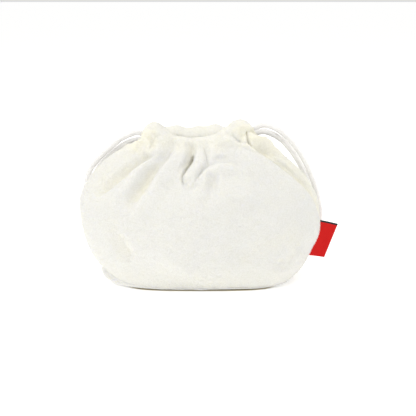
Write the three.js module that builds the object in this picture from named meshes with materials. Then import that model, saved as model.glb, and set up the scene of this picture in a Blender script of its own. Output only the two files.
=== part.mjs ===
// Soft fleece drawstring pouch, standing on its base with the neck drawn closed.
// Millimetres. +Z is up, the front faces -Y, the label is on the +X side.
// The origin is the middle of the flat underside of the base.
import * as THREE from "three";

// Cloth and seams
const CLOTH = 2.4;
const SEAM_GAP = 0.4;

// Sections of the bag from the edge of the flat base up to the rim of the casing.
// left and right are [x, z] of the side seams, front and back are [y, z] of the panels' middles,
// square is 2 for an ellipse and more for a squarer section.
const SECTIONS = [
  { left: [-70, 0.0], right: [66, 0.0], front: [-35, 0.0], back: [36, 0.0], square: 2.7 },
  { left: [-83, 3.5], right: [74, 0.6], front: [-40.4, 0.3], back: [42, 0.9], square: 2.8 },
  { left: [-90, 11.0], right: [78.6, 1.8], front: [-42.9, 0.9], back: [45, 2.0], square: 2.9 },
  { left: [-88, 18.0], right: [82, 4.0], front: [-45.2, 2.6], back: [47, 4.2], square: 2.9 },
  { left: [-96, 26.0], right: [92, 16.0], front: [-51, 15.0], back: [52, 16.0], square: 2.7 },
  { left: [-103, 38.0], right: [100, 29.0], front: [-55, 29.0], back: [56, 29.0], square: 2.5 },
  { left: [-107, 52.0], right: [106, 44.0], front: [-57, 45.0], back: [58, 45.0], square: 2.4 },
  { left: [-108, 67.0], right: [106, 60.0], front: [-56, 61.0], back: [58, 61.0], square: 2.3 },
  { left: [-104.6, 82.0], right: [102, 77.0], front: [-53, 77.0], back: [55, 77.0], square: 2.2 },
  { left: [-95.4, 97.0], right: [92, 93.0], front: [-47, 92.0], back: [50, 93.0], square: 2.2 },
  { left: [-83, 109.0], right: [79, 107.0], front: [-39, 105.0], back: [43, 106.0], square: 2.3 },
  { left: [-66, 117.5], right: [66, 118.0], front: [-31, 115.0], back: [35, 116.0], square: 2.5 },
  { left: [-54, 123.0], right: [52.5, 126.0], front: [-25, 122.5], back: [28, 123.5], square: 2.8 },
  { left: [-52, 131.0], right: [47.5, 134.5], front: [-23, 129.5], back: [26, 130.0], square: 3.0 },
];
const SEAM_LEVEL = 3;
const RIM_LEVEL = SECTIONS.length - 1;

// Casing: the cloth rolls over the rim and comes down inside to the stitch line.
const STITCH = 0.76;
const TUNNEL_FULL = 0.85;
const TUNNEL_WIDTH = 8.2;
const HEM_GAP = 0.5;
const ROLL_RISE = 4.6;
// The casing's ends stop short of the side seam and leave a slit for the cords.
const SLIT = 0.17;
const SLIT_START = 0.78;
const SLIT_FULL = 0.86;

// Rows of the cloth up the wall, and down the casing's facing.
const WALL_ROWS = [
  0, 0.06, 0.13, 0.21, 0.3, 0.39, 0.47, 0.54, 0.6, 0.65, 0.7, 0.74, 0.78, 0.82, 0.86, 0.91, 0.96, 1,
];
const ROLL_ANGLES = [45, 90, 135];
const FACING_ROWS = [1, 0.93, 0.86, 0.81, STITCH];
const FRONT_COLUMNS = 48;
const BACK_COLUMNS = 34;
const BASE_ROWS = [0, 0.5, 1, 1.6, 2.2, 2.94];
const BASE_COLUMNS = 44;
// Columns crowd toward the middle of a panel, where the gathers are.
const COLUMN_CROWDING = 0.36;
// On the front, columns right of LEAN_FROM lean with the right edge fold, which EDGE_COLUMN follows:
// EDGE_LEAN is its run across per unit of up, and EDGE_SWING the most it moves either way from EDGE_UP.
const LEAN_FROM = -0.2;
const EDGE_COLUMN = 0.56;
const EDGE_UP = 0.71;
const EDGE_LEAN = 0.88;
const EDGE_SWING = 0.22;

// Folds run over a panel along a path of [across, up, height]: across is -1 at the left seam and 1 at the
// right, up is 0 at the base seam and 1 at the rim, height is a ridge's rise or a valley's depth below zero.
// left and right are the fold's reach on either side of a path that goes down.
const FRONT_FOLDS = [
  {
    name: "shoulder groove",
    path: [[-0.4, 0.82, 0], [-0.46, 0.73, -5.5], [-0.54, 0.63, -4.5], [-0.67, 0.51, 0]],
    left: 11,
    right: 12,
  },
  {
    name: "left roll",
    path: [[-0.39, 0.92, 2], [-0.4, 0.8, 3.5], [-0.42, 0.66, 3], [-0.52, 0.5, 0]],
    left: 10,
    right: 12,
  },
  {
    name: "long valley",
    path: [
      [-0.28, 1, -0.5], [-0.285, 0.9, -2.5], [-0.293, 0.8, -5],
      [-0.305, 0.68, -7], [-0.34, 0.56, -5.5], [-0.42, 0.45, 0],
    ],
    left: 13,
    right: 6,
  },
  {
    name: "broad ridge",
    path: [
      [-0.19, 1, 1.5], [-0.2, 0.88, 3.5], [-0.215, 0.76, 4.5],
      [-0.235, 0.64, 4], [-0.28, 0.52, 2.5], [-0.34, 0.4, 0],
    ],
    left: 7,
    right: 15,
  },
  {
    name: "deep valley",
    path: [
      [-0.07, 0.97, -1.5], [-0.065, 0.9, -5], [-0.055, 0.82, -8], [-0.055, 0.74, -8.5],
      [-0.09, 0.7, -6.5], [-0.105, 0.65, -4.5], [-0.085, 0.61, -2.5], [-0.04, 0.58, 0],
    ],
    left: 7,
    right: 6,
  },
  {
    name: "hooked ridge",
    path: [
      [-0.01, 1, 1], [0, 0.88, 2.5], [0.01, 0.79, 3], [-0.015, 0.72, 4],
      [-0.05, 0.67, 4.5], [-0.05, 0.63, 2.5], [-0.02, 0.6, 0],
    ],
    left: 6,
    right: 6,
  },
  {
    name: "crack",
    path: [
      [0.045, 0.92, -1], [0.05, 0.83, -5.5], [0.06, 0.745, -7],
      [0.015, 0.7, -5.5], [-0.01, 0.65, -3.5], [-0.01, 0.61, 0],
    ],
    left: 5.5,
    right: 5.5,
  },
  {
    name: "lip",
    path: [
      [0, 0.59, 0], [0.03, 0.66, 4], [0.07, 0.705, 5],
      [0.13, 0.73, 4.5], [0.2, 0.725, 2.5], [0.28, 0.69, 0],
    ],
    left: 12,
    right: 5.5,
  },
  {
    name: "lip dimple",
    path: [[0.11, 0.79, 0], [0.16, 0.77, -3], [0.22, 0.765, 0]],
    left: 7,
    right: 7,
  },
  {
    name: "middle groove",
    path: [[0.1, 0.69, 0], [0.095, 0.64, -3.5], [0.07, 0.57, -3], [0.05, 0.5, 0]],
    left: 11,
    right: 9,
  },
  {
    name: "upright ridge",
    path: [[0.12, 1, 1], [0.12, 0.88, 2.5], [0.11, 0.79, 2.5], [0.1, 0.73, 0]],
    left: 7,
    right: 12,
  },
  {
    name: "right edge",
    path: [
      [0.24, 1, 3], [0.31, 0.95, 5], [0.42, 0.86, 6], [0.49, 0.79, 6], [0.56, 0.71, 6],
      [0.64, 0.61, 5.5], [0.71, 0.53, 4.5], [0.78, 0.45, 3], [0.88, 0.34, 0],
    ],
    left: 30,
    right: 6,
  },
  {
    name: "right valley",
    path: [
      [0.33, 1, -2], [0.4, 0.93, -4], [0.49, 0.87, -6.5], [0.56, 0.8, -7], [0.625, 0.72, -7],
      [0.705, 0.62, -6], [0.775, 0.54, -5], [0.845, 0.46, -3.5], [0.93, 0.35, 0],
    ],
    left: 6,
    right: 14,
  },
  {
    name: "side roll",
    path: [[0.7, 0.8, 0], [0.79, 0.7, 2.5], [0.87, 0.6, 2], [0.94, 0.5, 0]],
    left: 9,
    right: 9,
  },
  {
    name: "tall lobe",
    path: [[0.33, 1, 1], [0.42, 0.99, 5.5], [0.51, 0.98, 6], [0.59, 0.95, 1]],
    left: 10,
    right: 10,
  },
  {
    name: "lobe crack",
    path: [[0.53, 0.98, 0], [0.49, 0.92, -4], [0.465, 0.86, -4]],
    left: 5,
    right: 5,
  },
  {
    name: "low lobe",
    path: [[0.54, 0.9, 1.5], [0.63, 0.895, 7], [0.73, 0.865, 7.5], [0.83, 0.805, 1]],
    left: 8,
    right: 8,
  },
  {
    name: "left lobe",
    path: [[-0.68, 1, 2], [-0.58, 1, 5.5], [-0.5, 0.97, 5.5], [-0.52, 0.88, 4.5], [-0.56, 0.8, 0]],
    left: 8,
    right: 8,
  },
  {
    name: "second lobe",
    path: [[-0.37, 1, 2.5], [-0.37, 0.93, 4], [-0.39, 0.85, 3], [-0.4, 0.77, 0]],
    left: 7,
    right: 7,
  },
  {
    name: "left corner dimple",
    path: [[-0.44, 0.36, 0], [-0.385, 0.265, -2.2], [-0.36, 0.17, 0]],
    left: 15,
    right: 15,
  },
  {
    name: "right corner dimple",
    path: [[0.52, 0.4, 0], [0.53, 0.28, -1.8], [0.56, 0.16, 0]],
    left: 13,
    right: 13,
  },
];
const BACK_FOLDS = [
  { name: "gather 1", path: [[-0.62, 0.97, -1.5], [-0.63, 0.78, -4], [-0.72, 0.5, 0]], left: 14, right: 13 },
  { name: "gather 2", path: [[-0.37, 0.97, -2], [-0.38, 0.77, -4.5], [-0.43, 0.46, 0]], left: 12, right: 13 },
  { name: "gather 3", path: [[-0.13, 0.97, -2], [-0.14, 0.77, -5], [-0.17, 0.52, 0]], left: 10, right: 11 },
  { name: "gather 4", path: [[0.1, 0.97, -2], [0.11, 0.77, -4.5], [0.14, 0.48, 0]], left: 11, right: 10 },
  { name: "gather 5", path: [[0.34, 0.97, -2], [0.35, 0.77, -4.5], [0.41, 0.5, 0]], left: 13, right: 12 },
  { name: "gather 6", path: [[0.62, 0.97, -1.5], [0.63, 0.78, -4], [0.72, 0.52, 0]], left: 13, right: 14 },
  { name: "puff 1", path: [[-0.49, 1, 2], [-0.5, 0.8, 3], [-0.55, 0.56, 0]], left: 13, right: 13 },
  { name: "puff 2", path: [[-0.25, 1, 2], [-0.26, 0.8, 3], [-0.29, 0.56, 0]], left: 12, right: 12 },
  { name: "puff 3", path: [[-0.02, 1, 2], [-0.02, 0.8, 3], [-0.01, 0.58, 0]], left: 11, right: 11 },
  { name: "puff 4", path: [[0.22, 1, 2], [0.23, 0.8, 3], [0.27, 0.55, 0]], left: 12, right: 12 },
  { name: "puff 5", path: [[0.48, 1, 2], [0.49, 0.8, 3], [0.55, 0.56, 0]], left: 13, right: 13 },
];
const FOLD_RUN = 142;

// The rim stands higher where the casing puffs up.
const FRONT_LIFTS = [
  { at: -0.48, reach: 0.26, lift: 7.5 },
  { at: -0.02, reach: 0.32, lift: -3.4 },
  { at: 0.47, reach: 0.28, lift: 12.0 },
];
const BACK_LIFTS = [
  { at: -0.3, reach: 0.3, lift: 2.4 },
  { at: 0.25, reach: 0.3, lift: -1.0 },
];
const LIFT_START = 0.84;

// Side label: where it meets the right seam, up from the base seam, and the two corners of its free edge.
const LABEL_SEAM = [0.14, 0.36];
const LABEL_LOW_CORNER = new THREE.Vector3(111.6, 0.5, 18.8);
const LABEL_HIGH_CORNER = new THREE.Vector3(123, -0.5, 50);
const LABEL_ACROSS = [0, 0.35, 0.7, 1];
const LABEL_THICK = 1.0;
const LABEL_GAP = 0.35;
const LABEL_BOW = 0.8;
const LABEL_STEPS = 8;

// Braided drawcords: routes of the free strands from inside the casing's ends to the knots behind the bag.
const CORD = 5.0;
const CORD_SIDES = 8;
const CORD_STEPS = 20;
const CORD_ROUTES = {
  left_cord_front: [
    [-43.4, -9.6, 127.4], [-44.1, -5.9, 127.2], [-46.2, -2.8, 126.9], [-49.3, -1.0, 126.8],
    [-52.9, -0.2, 126.8], [-57.2, 0.5, 126.3], [-62.4, 3.0, 124.8], [-68.8, 7.6, 121.4],
    [-76.2, 12.0, 116.2], [-84.9, 15.0, 109.3], [-91.6, 18.5, 101.6], [-96.6, 22.0, 93.0],
    [-100.6, 26.0, 81.0], [-101.4, 30.5, 68.0], [-100.0, 35.5, 55.0], [-96.5, 41.0, 41.5],
    [-91.5, 46.5, 28.0], [-85.5, 52.0, 15.0], [-80.0, 56.3, 6.8], [-75.0, 59.3, 3.2], [-69.3, 62.6, 3.0],
  ],
  left_cord_back: [
    [-42.6, 12.4, 126.4], [-43.3, 8.8, 126.6], [-45.5, 5.5, 127.4], [-48.8, 3.5, 129.3],
    [-52.7, 3.0, 131.5], [-57.4, 3.1, 132.5], [-63.6, 4.0, 130.6], [-71.4, 6.0, 126.7],
    [-79.7, 8.0, 120.1], [-88.6, 10.0, 112.1], [-95.7, 12.0, 104.4], [-101.0, 14.2, 97.0],
    [-104.2, 17.0, 88.5], [-106.4, 21.0, 78.0], [-106.6, 25.5, 67.0], [-105.2, 30.5, 55.0],
    [-102.0, 36.0, 42.0], [-97.5, 42.5, 28.0], [-92.5, 49.5, 15.0], [-87.5, 56.5, 6.8],
    [-82.0, 62.2, 3.2], [-76.5, 66.3, 3.0], [-71.2, 68.6, 3.2],
  ],
  right_cord_front: [
    [41.0, -9.6, 127.8], [41.5, -5.9, 127.9], [43.0, -2.8, 128.6], [45.4, -1.4, 130.4],
    [48.4, -1.1, 132.6], [52.0, -0.9, 133.6], [56.2, 0.0, 133.7], [61.2, 1.6, 131.9],
    [67.2, 4.8, 128.6], [73.6, 8.6, 123.4], [82.1, 12.4, 113.2], [88.7, 15.6, 102.8],
    [94.0, 18.8, 92.4], [98.2, 22.8, 80.4], [100.0, 27.0, 68.0], [99.2, 32.0, 55.5], [96.2, 37.5, 42.0],
    [91.5, 44.0, 28.5], [85.5, 50.0, 15.5], [80.0, 55.0, 7.0], [75.0, 58.8, 3.2], [69.3, 62.6, 3.0],
  ],
  right_cord_back: [
    [39.6, 12.0, 125.6], [40.2, 8.5, 126.0], [42.1, 5.3, 127.6], [44.6, 3.7, 131.4],
    [47.4, 3.4, 135.4], [51.0, 3.7, 138.1], [56.0, 3.9, 139.0], [62.2, 3.7, 137.6],
    [69.6, 3.5, 133.8], [78.6, 4.2, 125.8], [87.0, 5.8, 115.3], [93.4, 7.6, 104.8],
    [98.4, 9.8, 93.8], [102.8, 12.0, 82.4], [106.2, 14.4, 70.0], [108.6, 17.6, 58.0], [108.8, 22.4, 46.5],
    [106.0, 29.0, 34.5], [100.5, 37.0, 22.5], [94.5, 46.0, 12.0], [88.5, 54.5, 5.4],
    [82.5, 61.5, 3.2], [76.5, 66.3, 3.0], [71.2, 68.6, 3.2],
  ],
};
const KNOT_HALF_WIDTH = 7.2;
const KNOT_HALF_HEIGHT = 6.2;
const KNOT_SIDES = 12;
const KNOT_RINGS = 8;
const LEFT_KNOT = [-63.3, 67.5, KNOT_HALF_HEIGHT + 0.2];
const RIGHT_KNOT = [63.3, 67.5, KNOT_HALF_HEIGHT + 0.2];

// Colours
const FLEECE = "#efece2";
const CORD_WHITE = "#f2f1ee";
const LABEL_RED = "#c81f22";

const FRONT = -1;
const BACK = 1;
const STEP_ACROSS = 0.004;
const STEP_UP = 0.02;

const smooth = THREE.MathUtils.smoothstep;

function levelOf(up) {
  return SEAM_LEVEL + up * (RIM_LEVEL - SEAM_LEVEL);
}

function fields(row) {
  return [...row.left, ...row.right, ...row.front, ...row.back, row.square];
}

function sectionAt(level) {
  const last = SECTIONS.length - 1;
  const i = Math.min(Math.max(Math.floor(level), 0), last - 1);
  const f = level - i;
  const a = fields(SECTIONS[Math.max(i - 1, 0)]);
  const b = fields(SECTIONS[i]);
  const c = fields(SECTIONS[i + 1]);
  const d = fields(SECTIONS[Math.min(i + 2, last)]);
  return b.map((v, k) => {
    const bend = 2 * a[k] - 5 * v + 4 * c[k] - d[k];
    const turn = 3 * v - a[k] - 3 * c[k] + d[k];
    return 0.5 * (2 * v + (c[k] - a[k]) * f + bend * f * f + turn * f * f * f);
  });
}

// A point of the smooth bag, before folds.
function smoothPoint(side, across, level) {
  const [leftX, leftZ, rightX, rightZ, frontY, frontZ, backY, backZ, square] = sectionAt(level);
  const angle = (across * Math.PI) / 2;
  const sine = Math.sin(angle);
  const cosine = Math.max(Math.cos(angle), 0);
  const half = (rightX - leftX) / 2;
  const middle = (rightX + leftX) / 2;
  const reach = side === FRONT ? frontY : backY;
  const rise = side === FRONT ? frontZ : backZ;
  const end = across < 0 ? leftZ : rightZ;
  const spread = (Math.abs(sine) ** square + cosine ** square) ** (-1 / square);
  return new THREE.Vector3(
    middle + half * spread * sine,
    reach * spread * cosine,
    rise + (end - rise) * sine ** 4,
  );
}

// The smooth point with its outward normal, upward tangent and stretch per unit of across.
function smoothFrame(side, across, level) {
  const point = smoothPoint(side, across, level);
  const left = smoothPoint(side, Math.max(across - STEP_ACROSS, -1), level);
  const right = smoothPoint(side, Math.min(across + STEP_ACROSS, 1), level);
  const low = smoothPoint(side, across, Math.max(level - STEP_UP, 0));
  const high = smoothPoint(side, across, Math.min(level + STEP_UP, RIM_LEVEL));
  const along = right.clone().sub(left);
  const run = Math.min(across + STEP_ACROSS, 1) - Math.max(across - STEP_ACROSS, -1);
  const up = high.sub(low).normalize();
  const stretch = along.length() / run;
  const normal = along.cross(up).multiplyScalar(-side);
  if (Math.abs(across) > 0.999) {
    normal.y = 0;
  }
  normal.normalize();
  return { point, normal, up, stretch };
}

// Height of one fold at a place on the panel: full on the path, nothing beyond its reach.
function foldHeight(fold, across, up, stretch) {
  let nearest = Infinity;
  let height = 0;
  for (let i = 0; i < fold.path.length - 1; i += 1) {
    const [startAcross, startUp, startHeight] = fold.path[i];
    const [endAcross, endUp, endHeight] = fold.path[i + 1];
    const px = (across - startAcross) * stretch;
    const py = (up - startUp) * FOLD_RUN;
    const dx = (endAcross - startAcross) * stretch;
    const dy = (endUp - startUp) * FOLD_RUN;
    const along = THREE.MathUtils.clamp((px * dx + py * dy) / (dx * dx + dy * dy), 0, 1);
    const offX = px - along * dx;
    const offY = py - along * dy;
    const away = Math.hypot(offX, offY);
    if (away < nearest) {
      nearest = away;
      const lean = (offX * dy - offY * dx) / Math.max(away * Math.hypot(dx, dy), 1e-9);
      const reach = THREE.MathUtils.lerp(fold.right, fold.left, (lean + 1) / 2);
      const q = Math.min(away / reach, 1);
      height = THREE.MathUtils.lerp(startHeight, endHeight, smooth(along, 0, 1)) * (1 - q * q) ** 2;
    }
  }
  return height;
}

function foldsHeight(side, across, up, stretch) {
  const folds = side === FRONT ? FRONT_FOLDS : BACK_FOLDS;
  return folds.reduce((sum, fold) => sum + foldHeight(fold, across, up, stretch), 0);
}

function rimLift(side, across, up) {
  const lifts = side === FRONT ? FRONT_LIFTS : BACK_LIFTS;
  const sum = lifts.reduce((total, row) => {
    const q = Math.min(Math.abs(across - row.at) / row.reach, 1);
    return total + row.lift * (1 - q * q) ** 2;
  }, 0);
  return sum * smooth(up, LIFT_START, 1);
}

function tunnelWidth(up) {
  return THREE.MathUtils.lerp(HEM_GAP, TUNNEL_WIDTH, smooth(up, STITCH, TUNNEL_FULL));
}

// Where a column of a panel runs at a height.
function acrossOf(side, column, up) {
  const swing = THREE.MathUtils.clamp(EDGE_LEAN * (EDGE_UP - up), -EDGE_SWING, EDGE_SWING);
  let lean = 0;
  if (side === FRONT && column > EDGE_COLUMN) {
    lean = (swing * (1 - column)) / (1 - EDGE_COLUMN);
  } else if (side === FRONT && column > LEAN_FROM) {
    lean = (swing * (column - LEAN_FROM)) / (EDGE_COLUMN - LEAN_FROM);
  }
  return (column + lean) * (1 - SLIT * smooth(up, SLIT_START, SLIT_FULL));
}

// Both faces of the cloth at one place of a panel's wall, roll or facing.
function clothFaces(side, column, row) {
  const across = acrossOf(side, column, row.up);
  const { point, normal, up, stretch } = smoothFrame(side, across, levelOf(row.up));
  const fold = foldsHeight(side, across, row.up, stretch);
  point.z += rimLift(side, across, row.up);
  point.y += (side * SEAM_GAP) / 2;
  const inside = -2 * CLOTH - Math.max(tunnelWidth(row.up), HEM_GAP - fold);
  const place = (away, rise) => point.clone().addScaledVector(normal, away).addScaledVector(up, rise);
  if (row.layer === "wall") {
    return [place(fold, 0), place(fold - CLOTH, 0)];
  }
  if (row.layer === "facing") {
    return [place(inside, 0), place(inside + CLOTH, 0)];
  }
  const turn = THREE.MathUtils.degToRad(row.angle);
  const centre = (fold + inside) / 2;
  const radius = (fold - inside) / 2;
  return [
    place(centre + radius * Math.cos(turn), ROLL_RISE * Math.sin(turn)),
    place(centre + (radius - CLOTH) * Math.cos(turn), (ROLL_RISE - CLOTH) * Math.sin(turn)),
  ];
}

// A closed body from an outer and an inner grid of points, columns of rows.
function clothBody(outer, inner) {
  const columns = outer.length;
  const rows = outer[0].length;
  const count = columns * rows;
  const points = [...outer.flat(), ...inner.flat()];
  const faces = [];
  const quad = (a, b, c, d) => faces.push(a, b, c, a, c, d);
  for (let i = 0; i < columns - 1; i += 1) {
    const here = i * rows;
    const next = here + rows;
    for (let j = 0; j < rows - 1; j += 1) {
      quad(here + j, next + j, next + j + 1, here + j + 1);
      quad(count + here + j, count + here + j + 1, count + next + j + 1, count + next + j);
    }
    quad(count + here, count + next, next, here);
    quad(here + rows - 1, next + rows - 1, count + next + rows - 1, count + here + rows - 1);
  }
  const last = count - rows;
  for (let j = 0; j < rows - 1; j += 1) {
    quad(count + j, j, j + 1, count + j + 1);
    quad(last + j, count + last + j, count + last + j + 1, last + j + 1);
  }
  return body(points, faces);
}

// A mesh geometry with its faces turned outward.
function body(points, faces) {
  let volume = 0;
  for (let i = 0; i < faces.length; i += 3) {
    const [a, b, c] = [points[faces[i]], points[faces[i + 1]], points[faces[i + 2]]];
    volume += a.dot(b.clone().cross(c));
  }
  if (volume < 0) {
    faces.reverse();
  }
  const geometry = new THREE.BufferGeometry().setFromPoints(points);
  geometry.setIndex(faces);
  geometry.computeVertexNormals();
  return geometry;
}

function panelBody(side, columnCount) {
  const rows = [
    ...WALL_ROWS.map((up) => ({ layer: "wall", up })),
    ...ROLL_ANGLES.map((angle) => ({ layer: "roll", up: 1, angle })),
    ...FACING_ROWS.map((up) => ({ layer: "facing", up })),
  ];
  const outer = [];
  const inner = [];
  for (let i = 0; i <= columnCount; i += 1) {
    const even = (2 * i) / columnCount - 1;
    const column = even * (1 - COLUMN_CROWDING + COLUMN_CROWDING * even * even);
    const faces = rows.map((row) => clothFaces(side, column, row));
    outer.push(faces.map(([face]) => face));
    inner.push(faces.map(([, face]) => face));
  }
  return clothBody(outer, inner);
}

// The base: flat in the middle, curling up to the base seam.
function baseBody() {
  const ring = [];
  for (let i = 0; i < BASE_COLUMNS; i += 1) {
    const turn = (4 * i) / BASE_COLUMNS;
    ring.push(turn < 2 ? { side: FRONT, across: turn - 1 } : { side: BACK, across: 3 - turn });
  }
  const under = [];
  const over = [];
  ring.forEach(({ side, across }) => {
    const frames = BASE_ROWS.map((level) => smoothFrame(side, across, level));
    frames[0].normal.set(0, 0, -1);
    under.push(frames.map(({ point }) => point));
    over.push(frames.map(({ point, normal }) => point.clone().addScaledVector(normal, -CLOTH)));
  });
  const points = [...under.flat(), ...over.flat(), new THREE.Vector3(), new THREE.Vector3(0, 0, CLOTH)];
  const rows = BASE_ROWS.length;
  const count = BASE_COLUMNS * rows;
  const faces = [];
  const quad = (a, b, c, d) => faces.push(a, b, c, a, c, d);
  for (let i = 0; i < BASE_COLUMNS; i += 1) {
    const here = i * rows;
    const next = ((i + 1) % BASE_COLUMNS) * rows;
    for (let j = 0; j < rows - 1; j += 1) {
      quad(here + j, next + j, next + j + 1, here + j + 1);
      quad(count + here + j, count + here + j + 1, count + next + j + 1, count + next + j);
    }
    quad(here + rows - 1, next + rows - 1, count + next + rows - 1, count + here + rows - 1);
    faces.push(2 * count, next, here);
    faces.push(2 * count + 1, count + here, count + next);
  }
  return body(points, faces);
}

// The label: a folded tape whose inner edge follows the right side seam.
function labelBody() {
  const outer = [];
  const inner = [];
  for (let i = 0; i <= LABEL_STEPS; i += 1) {
    const part = i / LABEL_STEPS;
    const up = THREE.MathUtils.lerp(LABEL_SEAM[0], LABEL_SEAM[1], part);
    const { point, normal } = smoothFrame(FRONT, 1, levelOf(up));
    const seam = point.addScaledVector(normal, LABEL_GAP);
    const edge = new THREE.Vector3().lerpVectors(LABEL_LOW_CORNER, LABEL_HIGH_CORNER, part);
    const row = LABEL_ACROSS.map((across) => {
      const place = seam.clone().lerp(edge, across);
      place.y += LABEL_BOW * Math.sin(Math.PI * across);
      return place;
    });
    outer.push(row.map((place) => place.clone().setY(place.y - LABEL_THICK / 2)));
    inner.push(row.map((place) => place.clone().setY(place.y + LABEL_THICK / 2)));
  }
  return clothBody(outer, inner);
}

// A round cord along its route.
function cordBody(route) {
  const section = new THREE.Shape();
  for (let i = 0; i < CORD_SIDES; i += 1) {
    const turn = (2 * Math.PI * i) / CORD_SIDES;
    const [x, y] = [(CORD / 2) * Math.cos(turn), (CORD / 2) * Math.sin(turn)];
    if (i === 0) {
      section.moveTo(x, y);
    } else {
      section.lineTo(x, y);
    }
  }
  section.closePath();
  const extrudePath = new THREE.CatmullRomCurve3(route.map((place) => new THREE.Vector3(...place)));
  return new THREE.ExtrudeGeometry(section, { steps: CORD_STEPS, bevelEnabled: false, extrudePath });
}

function knotBody([x, y, z]) {
  const ball = new THREE.SphereGeometry(1, KNOT_SIDES, KNOT_RINGS);
  return ball.scale(KNOT_HALF_WIDTH, KNOT_HALF_WIDTH, KNOT_HALF_HEIGHT).translate(x, y, z);
}

const group = new THREE.Group();

function add(name, geometry, color, roughness) {
  const mesh = new THREE.Mesh(geometry, new THREE.MeshStandardMaterial({ color, roughness, metalness: 0 }));
  mesh.name = name;
  group.add(mesh);
}

add("base_panel", baseBody(), FLEECE, 0.95);
add("front_panel", panelBody(FRONT, FRONT_COLUMNS), FLEECE, 0.95);
add("back_panel", panelBody(BACK, BACK_COLUMNS), FLEECE, 0.95);
add("side_label", labelBody(), LABEL_RED, 0.6);
Object.entries(CORD_ROUTES).forEach(([name, route]) => add(name, cordBody(route), CORD_WHITE, 0.7));
add("left_knot", knotBody(LEFT_KNOT), CORD_WHITE, 0.7);
add("right_knot", knotBody(RIGHT_KNOT), CORD_WHITE, 0.7);

export default group;
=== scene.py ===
"""Looks of a soft fleece drawstring pouch: panels, casing, braided cords, knots and side label.

Tables are in millimetres, meshes in metres, all in the part's own frame:
+Z is up, the front faces -Y and the label is on the +X side.
"""
import math
import bpy
import numpy as np
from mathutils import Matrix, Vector


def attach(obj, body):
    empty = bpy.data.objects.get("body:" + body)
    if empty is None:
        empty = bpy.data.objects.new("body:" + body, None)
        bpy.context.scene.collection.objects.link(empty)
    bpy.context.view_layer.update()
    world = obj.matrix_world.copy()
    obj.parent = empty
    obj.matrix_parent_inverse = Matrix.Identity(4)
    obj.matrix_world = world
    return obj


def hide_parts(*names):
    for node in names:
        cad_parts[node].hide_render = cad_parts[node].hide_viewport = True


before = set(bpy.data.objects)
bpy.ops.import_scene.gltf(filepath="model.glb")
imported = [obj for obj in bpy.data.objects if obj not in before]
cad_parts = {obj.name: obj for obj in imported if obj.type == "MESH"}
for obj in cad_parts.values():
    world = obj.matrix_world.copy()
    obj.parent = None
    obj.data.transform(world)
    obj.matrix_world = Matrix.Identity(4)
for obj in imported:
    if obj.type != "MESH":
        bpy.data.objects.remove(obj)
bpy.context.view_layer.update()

MM = 0.001

# Camera of the photograph's view
CAMERA_EYE = (5.85, -864.7, 248.3)
CAMERA_AIM = (5.85, 0.0, 64.5)
CAMERA_LENS = 85.0
CAMERA_SENSOR = 36.0


def make_camera():
    data = bpy.data.cameras.new("camera")
    data.lens = CAMERA_LENS
    data.sensor_width = CAMERA_SENSOR
    data.dof.use_dof = False
    camera = bpy.data.objects.new("camera", data)
    camera.location = Vector(CAMERA_EYE) * MM
    aim = (Vector(CAMERA_AIM) - Vector(CAMERA_EYE)).normalized()
    camera.rotation_euler = aim.to_track_quat("-Z", "Y").to_euler()
    bpy.context.scene.collection.objects.link(camera)
    bpy.context.scene.camera = camera


make_camera()


# Finishes
# The colour sockets of a Mix node
MIX_FIRST, MIX_SECOND, MIX_RESULT = 6, 7, 2


class Wire:
    """A value on its way to a socket, which sums can be written with."""

    def __init__(self, finish, socket):
        self.finish = finish
        self.socket = socket

    def _sum(self, operation, first, second):
        return self.finish.add("ShaderNodeMath", {"operation": operation}, {0: first, 1: second})

    def __add__(self, other):
        return self._sum("ADD", self, other)

    def __radd__(self, other):
        return self._sum("ADD", other, self)

    def __sub__(self, other):
        return self._sum("SUBTRACT", self, other)

    def __rsub__(self, other):
        return self._sum("SUBTRACT", other, self)

    def __mul__(self, other):
        return self._sum("MULTIPLY", self, other)

    def __rmul__(self, other):
        return self._sum("MULTIPLY", other, self)


class Finish:
    """A material whose nodes are added one by one."""

    def __init__(self, name, constants):
        self.material = bpy.data.materials.new(name)
        self.material.use_nodes = True
        self.nodes = self.material.node_tree.nodes
        self.links = self.material.node_tree.links
        self.surface = next(n for n in self.nodes if n.type == "BSDF_PRINCIPLED")
        for socket, value in constants.items():
            self.surface.inputs[socket].default_value = value

    def add(self, kind, settings, sockets, out=0):
        node = self.nodes.new(kind)
        for key, value in settings.items():
            setattr(node, key, value)
        for key, value in sockets.items():
            self.feed(node.inputs[key], value)
        return Wire(self, node.outputs[out])

    def feed(self, socket, value):
        if isinstance(value, Wire):
            self.links.new(value.socket, socket)
        else:
            socket.default_value = value

    def paint(self, socket, value):
        self.feed(self.surface.inputs[socket], value)

    def place(self):
        return self.add("ShaderNodeTexCoord", {}, {}, "Object")

    def field(self, name):
        """A value that the mesh holds at each point."""
        return self.add("ShaderNodeAttribute", {"attribute_name": name}, {}, "Fac")

    def part(self, place, axis):
        """The X, Y or Z of a place."""
        return self.add("ShaderNodeSeparateXYZ", {}, {0: place}, axis)

    def sine(self, value):
        return self.add("ShaderNodeMath", {"operation": "SINE"}, {0: value})

    def grain(self, place, size_mm, detail=2.0):
        """Noise whose lumps are about size_mm across."""
        sockets = {"Vector": place, "Scale": 1 / (size_mm * MM), "Detail": detail}
        return self.add("ShaderNodeTexNoise", {}, sockets)

    def blend(self, factor, first, second, kind="MIX"):
        settings = {"data_type": "RGBA", "blend_type": kind}
        colours = {"Factor": factor, MIX_FIRST: first, MIX_SECOND: second}
        return self.add("ShaderNodeMix", settings, colours, MIX_RESULT)

    def bump(self, height, depth_mm, strength):
        sockets = {"Height": height, "Distance": depth_mm * MM, "Strength": strength}
        self.paint("Normal", self.add("ShaderNodeBump", {}, sockets))


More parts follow.
